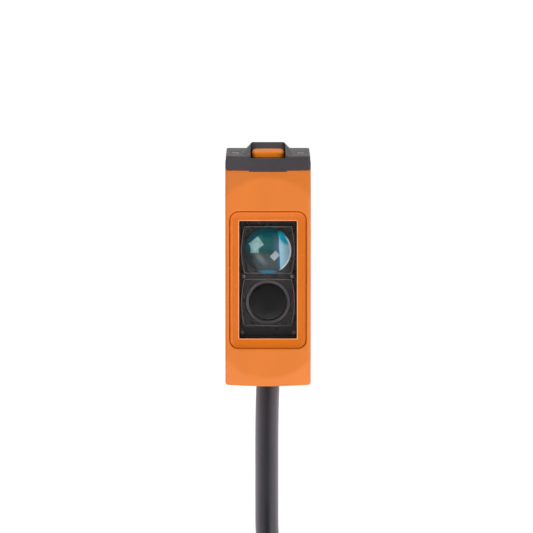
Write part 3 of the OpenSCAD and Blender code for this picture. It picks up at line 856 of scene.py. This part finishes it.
def guard_section(y, base_half, top_half, top_z):
    """Trapezoid of the guard with rounded shoulders, as a loop at a depth."""
    base_z = CAP_TOP - 0.15
    height = top_z - base_z
    turn = math.atan2(height, base_half - top_half)
    r = min(0.25, 0.7 * height / (math.tan(turn / 2) * math.sin(turn)))
    centre_x = top_half - r * math.tan(turn / 2)
    arc = []
    for k in range(7):
        angle = math.pi / 2 - turn + turn * k / 6
        arc.append((centre_x + r * math.cos(angle), top_z - r + r * math.sin(angle)))
    return upright(y, [(base_half, base_z), *arc, *[(-x, z) for x, z in reversed(arc)], (-base_half, base_z)])


def make_guard():
    """Guard that climbs back from the front to its full height, then drops in a rounded edge."""
    rise = cap_high.z
    sections = []
    for k in range(9):
        t = k / 8
        sections.append(guard_section(-15.6 + 5.4 * t, 2.45 + 0.97 * t, 2.4 - 0.35 * t,
                                      CAP_TOP + 0.06 + (rise - CAP_TOP - 0.06) * t))
    sections.append(guard_section(-7.42, 3.42, 2.05, rise))
    for inset, drop in ((0.06, 0.1), (0.13, 0.04), (0.22, 0.0)):
        sections.append(guard_section(-7.2 - drop, 3.42 - inset * 0.3, 2.05 - inset * 0.3, rise - inset))
    return loft("guard", sections)


def cap_block():
    """The cap's outside as a solid, with its sides drawn in above and a small rounded edge."""
    loops = [body_loop(SHELL_TOP + 0.01, 0.1), body_loop(SHELL_TOP + 0.08, 0.03), body_loop(SHELL_TOP + 0.12)]
    loops += [body_loop(SHELL_TOP + 0.12 + 0.78 * k / 4) for k in range(1, 5)]
    for k in range(1, 4):
        loops.append(plan_cap(SHELL_TOP + 0.9 + 0.5 * k / 3, CAP_TAPER * 0.7 * k / 3, 0.0))
    for inset, drop in fillet(CAP_EDGE, 5):
        taper = CAP_TAPER * (1 - 0.3 * drop / CAP_EDGE)
        loops.append(plan_cap(CAP_TOP - drop, taper + inset, inset))
    return loft("cap_body", loops)


def hollow_cap(cap):
    """Adds the cap's skirt and clears its underside round the boss that the button's stem runs in."""
    skirt = round_rect(-4.3, 4.3, -14.3, 1.9, 0.4)
    cap = join(cap, loft("skirt", prism_loops(skirt, (SHELL_TOP - 0.75, SHELL_TOP + 0.3))))
    relief_ring = round_rect(-3.85, 3.85, -13.9, 1.4, 0.4)
    relief = loft("relief", prism_loops(relief_ring, (SHELL_TOP - 2, SHELL_TOP + 0.45)))
    boss = [(0, 13.3), (3.3, 13.3), (3.3, 17), (0, 17)]
    cap = cut(cap, cut(relief, revolve("boss", boss, (0, BUTTON_Y, 0), "z")))
    return cut(cap, revolve("bore", [(0, 12), (1.35, 12), (1.35, 16), (0, 16)], (0, BUTTON_Y, 0), "z"))


def open_button_pocket(cap):
    """Cuts the button's pocket, the scoop in the guard's back wall and the channel open to the front."""
    pocket = round_rect(-POCKET_HALF_W, POCKET_HALF_W, BUTTON_Y - 2.74, BUTTON_Y + 2.74, 0.7)
    cap = cut(cap, loft("pocket", prism_loops(pocket, (CAP_TOP - 0.9, CAP_TOP + 3))))
    back, top = BUTTON_Y + 2.7, cap_high.z + 0.1
    scoop = [(back, CAP_TOP + 0.4), (back + 0.8, top), (back, top)]
    cap = cut(cap, loft("scoop", [[(x, y, z) for y, z in scoop] for x in (-1.95, 1.95)]))
    high = (POCKET_HALF_W, BUTTON_Y, CAP_TOP + 3)
    return cut(cap, box_mm("channel", (-POCKET_HALF_W, -18, CHANNEL_Z), high))


def make_cap():
    """Dark cap with the sloping button guard, its pocket, stem bore and two light-guide slots."""
    cap = join(cap_block(), make_guard())
    cap = open_button_pocket(hollow_cap(cap))
    for side in (-1, 1):
        slot = round_rect(*sorted((side * 3.55, side * 4.75)), -8.8, -5.6, 0.3)
        cap = cut(cap, loft("slot", prism_loops(slot, (SHELL_TOP - 2, CAP_TOP + 1))))
    finish_piece(cap, "cap_plastic", replaces=["top_cap"])
    make_tab()


def plan_cap(z, taper, inset):
    """The cap's section: its sides and back draw in, its front only follows the leaning form."""
    half = HALF_W - taper
    return plan_loop(half, SHELL_FRONT_Y + inset, BACK_Y - taper, CORNER_R - inset * 0.5, z)


def make_tab():
    """Small latch tab of the cap that dips into the shell's top edge."""
    low, high, back = SHELL_TOP - 0.11, SHELL_TOP + 0.06, -15.5
    loops = []
    for k in range(13):
        x = -2.33 + 4.66 * k / 12
        foot, head = [SHELL_FRONT_Y + front_lean(x, z) for z in (low, high)]
        loops.append([(x, foot + 0.04, low), (x, foot, low + 0.05), (x, head + 0.01, high),
                      (x, back, high), (x, back, low)])
    finish_piece(loft("cap_tab", loops), "cap_plastic", replaces=["top_cap"])


def soften(piece, width):
    """Small rounded edges on a machined or moulded mesh."""
    weld = piece.modifiers.new("weld", "WELD")
    weld.merge_threshold = 2e-6
    bevel = piece.modifiers.new("soft_edges", "BEVEL")
    bevel.width = width * MM
    bevel.segments = 2
    bevel.limit_method = "ANGLE"
    bevel.angle_limit = math.radians(40.0)
    bevel.harden_normals = True
    bevel.use_clamp_overlap = True


def make_button():
    """Push button with rounded corners, a soft upper edge and a barely crowned top."""
    base, top, crown = CHANNEL_Z, button_high.z, 0.05
    rows = [(0.6, base), (0.08, base), (0.0, base + 0.08), (0.0, base + 0.3)]
    rows += [(inset, top - crown - drop) for inset, drop in fillet(0.42, 8)]
    rows += [(inset, top - crown + lift) for inset, lift in ((0.7, 0.022), (1.2, 0.038), (1.7, 0.047))]
    rows.append((1.95, top))
    loops = []
    for inset, z in rows:
        half_w = (button_high.x - button_low.x) / 2 - inset
        half_l = (button_high.y - button_low.y) / 2 - inset
        ring = outline(half_w, -half_l, half_l, max(0.6 - inset, 0.05), steps=6, sides=6)
        loops.append([(x, BUTTON_Y + y, z) for x, y in ring])
    button = loft("button_head", loops)
    stem = [(0, 12.72), (1.1, 12.72), (1.2, 12.85), (1.3, 13.2), (1.3, base + 0.1), (0, base + 0.1)]
    button = join(button, revolve("stem", stem, (0, BUTTON_Y, 0), "z"))
    finish_piece(button, "button_plastic", body="button", replaces=["push_button"])


def make_diaphragm():
    """Silicone diaphragm under the cap, its rim round the hub that the button's stem passes."""
    profile = [(0, 12.38), (1.2, 12.38), (1.42, 12.5), (1.6, 12.68), (1.8, 12.84), (2.1, 12.98),
               (2.75, 12.98), (2.8, 13.03), (2.8, 13.28), (2.3, 13.28), (2.1, 13.2), (1.8, 13.02),
               (1.65, 12.9), (1.5, 12.78), (1.35, 12.7), (0, 12.7)]
    piece = revolve("button_diaphragm", profile, (0, BUTTON_Y, 0), "z", 48)
    piece.data.materials.append(MATERIALS["rubber"])
    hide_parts("button_membrane")
    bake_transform(piece)


def make_light_guides():
    """Two smoky acrylic indicator windows set just below the cap's top."""
    half_w = 0.55
    for name, side in (("left", -1), ("right", 1)):
        centre = side * 4.15
        loops = []
        for inset, drop in [(0.0, 1.3)] + fillet(0.08, 3):
            x0, x1 = centre - half_w + inset, centre + half_w - inset
            ring = round_rect(x0, x1, -8.75 + inset, -5.65 - inset, 0.25)
            loops.append([(x, y, CAP_TOP - 0.03 - drop) for x, y in ring])
        guide = loft(f"indicator_window_{name}", loops)
        stalk = round_rect(*sorted((side * 3.2, side * 3.9)), -8.4, -6.0, 0.2)
        guide = join(guide, loft("stalk", prism_loops(stalk, (11.35, CAP_TOP - 1.2))))
        finish_piece(guide, "light_guide", replaces=["light_guide_" + name])


# ---------- window and optics ----------

def make_window():
    """Clear pane: a plug in the opening on a wider flange."""
    loops = []
    plug_back = RECESS_Y + 0.51
    gap = 0.03
    for y, inset in ((pane_low.y, 0.05), (pane_low.y + 0.05, 0.0), (plug_back, 0.0)):
        low, high = WINDOW_Z[0] + gap + inset, WINDOW_Z[1] - gap - inset
        loops.append(upright(y, outline(WINDOW_HALF_W - gap - inset, low, high, WINDOW_R)))
    loops += [upright(y, outline(4.2, -7.85, 8.1, 0.4)) for y in (plug_back, pane_high.y - 0.02)]
    finish_piece(loft("window_pane", loops), "clear_window", replaces=["front_window"])


def make_lens():
    """Upper lens: a coated dome on a blackened square foot."""
    foot_y = lens_high.y - LENS_PLATE_T
    profile = []
    for k in range(33):
        angle = math.asin(LENS_R / LENS_BALL_R) * k / 32
        profile.append((LENS_BALL_R * math.sin(angle), lens_low.y + LENS_BALL_R * (1 - math.cos(angle))))
    profile += [(LENS_R, foot_y - 0.01), (2.8, foot_y - 0.01), (2.8, foot_y + 0.12), (0, foot_y + 0.12)]
    dome = revolve("lens_upper", profile, (0, 0, LENS_Z), "y", 128)
    finish_piece(dome, "coated_lens", replaces=["upper_lens"])
    half, corner = 2.81, 0.9
    loops = [upright(lens_high.y - 0.02, outline(half, LENS_Z - half, LENS_Z + half, corner))]
    for inset, drop in fillet(0.06):
        size = half - inset
        ring = outline(size, LENS_Z - size, LENS_Z + size, corner - inset)
        loops.append(upright(foot_y + 0.02 + drop, ring))
    finish_piece(loft("lens_foot", loops), "coated_lens", look="black_plastic", replaces=["upper_lens"])


def bead(name, path, r):
    """Thin round bead along a closed path of points in the XZ plane."""
    rings = []
    for i, here in enumerate(path):
        along = (Vector(path[(i + 1) % len(path)]) - Vector(path[i - 1])).normalized()
        across = along.cross(Vector((0, 1, 0)))
        ring = []
        for k in range(8):
            angle = math.pi / 4 * k
            ring.append(Vector(here) + across * r * math.cos(angle) + Vector((0, r * math.sin(angle), 0)))
        rings.append(ring)
    return loft(name, rings, closed=True)


def make_holder_rims():
    """Raised rims along the barrel-sided lens holders, and domed heads on the four stake pegs, in a pale grey
    that is a painted highlight on the black carrier.
    """
    front = ring_low.y
    edge = 0.05
    for name, (low, high) in (("upper", HOLDER_Z[1]), ("lower", HOLDER_Z[0])):
        mid, half_h = (low + high) / 2, (high - low) / 2 - edge
        side = []
        for k in range(25):
            z = half_h * (1 - 2 * k / 24)
            bow = HOLDER_SIDE_R - math.sqrt(HOLDER_SIDE_R ** 2 - z * z)
            side.append((HOLDER_HALF_W - bow - edge, mid + z))
        ring = [(x, front, z) for x, z in side]
        ring += [(-x, front, z) for x, z in reversed(side)]
        finish_piece(bead("holder_rim_" + name, ring, 0.06), "black_plastic", look="peg_highlight_plastic")
    head_r, head_h = 0.27, 0.16
    for index, (x, z) in enumerate(PEG_PLACES):
        dome = [(0, front + 0.1), (head_r, front + 0.1)]
        for angle in quarter(first=True, last=False):
            dome.append((head_r * math.cos(angle), front + 0.02 - head_h * math.sin(angle)))
        dome.append((0, front + 0.02 - head_h))
        head = revolve(f"stake_head_{index + 1}", dome, (x, 0, z), "y", 24)
        finish_piece(head, "black_plastic", look="peg_highlight_plastic")


def make_aperture():
    """Lower channel: bevelled ring over a dark disc filter with a polished edge; the ring is a paler copy of
    the black plastic, painted light on its bevel.
    """
    front, back = ring_low.y, ring_high.y
    profile = [(2.86, back), (2.86, front + 0.1), (2.83, front + 0.03), (2.76, front),
               (2.48, front + 0.12), (2.42, front + 0.18), (2.39, front + 0.3), (2.39, back)]
    finish_piece(revolve("aperture", profile, (0, 0, RING_Z), "y", 128), "black_plastic",
                 look="aperture_highlight_plastic", replaces=["aperture_ring"])
    front, back = filter_low.y, filter_high.y
    profile = [(0, front + 0.001), (1.2, front + 0.002), (2.3, front + 0.01), (2.6, front + 0.05),
               (2.66, front + 0.12), (2.66, back - 0.02), (0, back - 0.02)]
    finish_piece(revolve("filter_disc", profile, (0, 0, RING_Z), "y", 128), "dark_filter",
                 replaces=["lower_filter"])


def make_grommet():
    """Rubber seal where the cable leaves the shell, with a lip that hugs the jacket."""
    profile = [(1.5, 0.05), (1.62, 0.02), (1.8, 0.08), (1.98, 0.2), (1.98, 1.0), (2.6, 1.02), (2.6, 1.6),
               (1.9, 1.95), (1.5, 1.95)]
    profile = [(r, SHELL_BOTTOM + rise) for r, rise in profile]
    finish_piece(revolve("cable_seal", profile, (CABLE_X, CABLE_Y, 0), "z", 64), "rubber",
                 replaces=["cable_grommet"])


NODE_LOOKS = {
    "rubber": ("cap_gasket", "window_gasket"),
    "black_plastic": ("optic_carrier",),
    # the stake pegs get the same pale grey, a painted highlight
    "peg_highlight_plastic": ("stake_pegs",),
    "chip": ("photodiode", "controller_chip", "chip_resistors", "pin_header", "switch_body"),
    "tinned": ("emitter_led",),
    "circuit_board": ("main_board", "indicator_board"),
    "ceramic": ("chip_capacitors",),
    "gold": ("header_pins",),
    "steel": ("switch_cover", "cable_clamp"),
    "plunger_red": ("switch_plunger",),
    "led_amber": ("yellow_led",),
    "led_green": ("green_led",),
    "wire_blue": ("inner_leads",),
}


def dress_nodes():
    """Procedural finishes and fine edge breaks on the inner parts that keep their CAD shape."""
    for look, nodes in NODE_LOOKS.items():
        for node in nodes:
            piece = bpy.data.objects[node]
            piece.data.materials.clear()
            piece.data.materials.append(MATERIALS[look])
            soften(piece, 0.04)


# ---------- stage and light ----------

def make_stage():
    """Plain pale floor under the hanging coil, seen as white. It lights the object only from close by."""
    s = Shader("floor_white")
    s.set(base_color=(0.85, 0.85, 0.85, 1.0), roughness=0.9, emission_color=(1.0, 1.0, 1.0, 1.0))
    s.bump((s.noise(8.0), 0.05, 0.1))
    distance = s.add("VectorMath", "LENGTH", vector=s.place).outputs["Value"]
    glow = s.add("MapRange", value=distance, from_min=0.25, from_max=0.75, to_min=0.9, to_max=0.0)
    seen = s.add("LightPath").outputs["Is Camera Ray"]
    strength = s.add("MapRange", value=seen, to_min=glow.outputs["Result"], to_max=0.64)
    s.drive("Emission Strength", strength.outputs["Result"])
    half = 60000.0
    corners = [(-half, -half, FLOOR_Z), (half, -half, FLOOR_Z), (half, half, FLOOR_Z), (-half, half, FLOOR_Z)]
    floor = mesh_object("floor", corners, [(0, 1, 2, 3)])
    floor.data.materials.append(s.material)


def area_light(name, place, aim, size, power):
    """Softbox at a place in metres, facing a point."""
    data = bpy.data.lights.new(name, "AREA")
    data.shape = "RECTANGLE"
    data.size, data.size_y = size
    data.energy = power
    light = link_object(name, data)
    light.location = place
    light.rotation_mode = "QUATERNION"
    light.rotation_quaternion = (Vector(aim) - Vector(place)).to_track_quat("-Z", "Y")


def make_world():
    """A studio that is dark in front and pale behind, and white where the camera sees it."""
    world = bpy.data.worlds.new("studio")
    world.use_nodes = True
    bpy.context.scene.world = world
    tree = world.node_tree
    place = add_node(tree, "TexCoord").outputs["Generated"]
    depth = add_node(tree, "SeparateXYZ", vector=place).outputs["Y"]
    spread = add_node(tree, "MapRange", value=depth, from_min=-1.0)
    ramp = add_node(tree, "ValToRGB", fac=spread.outputs["Result"])
    fill_ramp(ramp, [(position, (grey,) * 3) for position, grey in ((0.28, 0.13), (0.5, 0.46), (0.75, 0.7))])
    room = tree.nodes["Background"]
    tree.links.new(ramp.outputs["Color"], room.inputs["Color"])
    white = add_node(tree, "Background", color=(1.0, 1.0, 1.0, 1.0))
    mix = add_node(tree, "MixShader", fac=add_node(tree, "LightPath").outputs["Is Camera Ray"])
    tree.links.new(room.outputs["Background"], mix.inputs[1])
    tree.links.new(white.outputs["Background"], mix.inputs[2])
    tree.links.new(mix.outputs["Shader"], tree.nodes["World Output"].inputs["Surface"])


def make_lights():
    """Two upright softboxes and a top one."""
    area_light("softbox_right", (0.46, -0.39, 0.09), (0, -0.015, 0), (0.5, 0.36), 1.75)
    area_light("softbox_left", (-0.40, -0.46, 0.22), (0, -0.015, 0), (0.5, 0.5), 1.62)
    area_light("softbox_top", (0.0, -0.12, 0.7), (0, -0.01, 0), (0.7, 0.5), 1.6)
    bpy.context.scene.view_settings.view_transform = "Standard"


make_camera()
build_materials()
make_cable()
make_shell()
make_frame()
make_sleeves()
make_cap()
make_button()
make_diaphragm()
make_light_guides()
make_window()
make_lens()
make_holder_rims()
make_aperture()
make_grommet()
dress_nodes()
make_stage()
make_world()
make_lights()
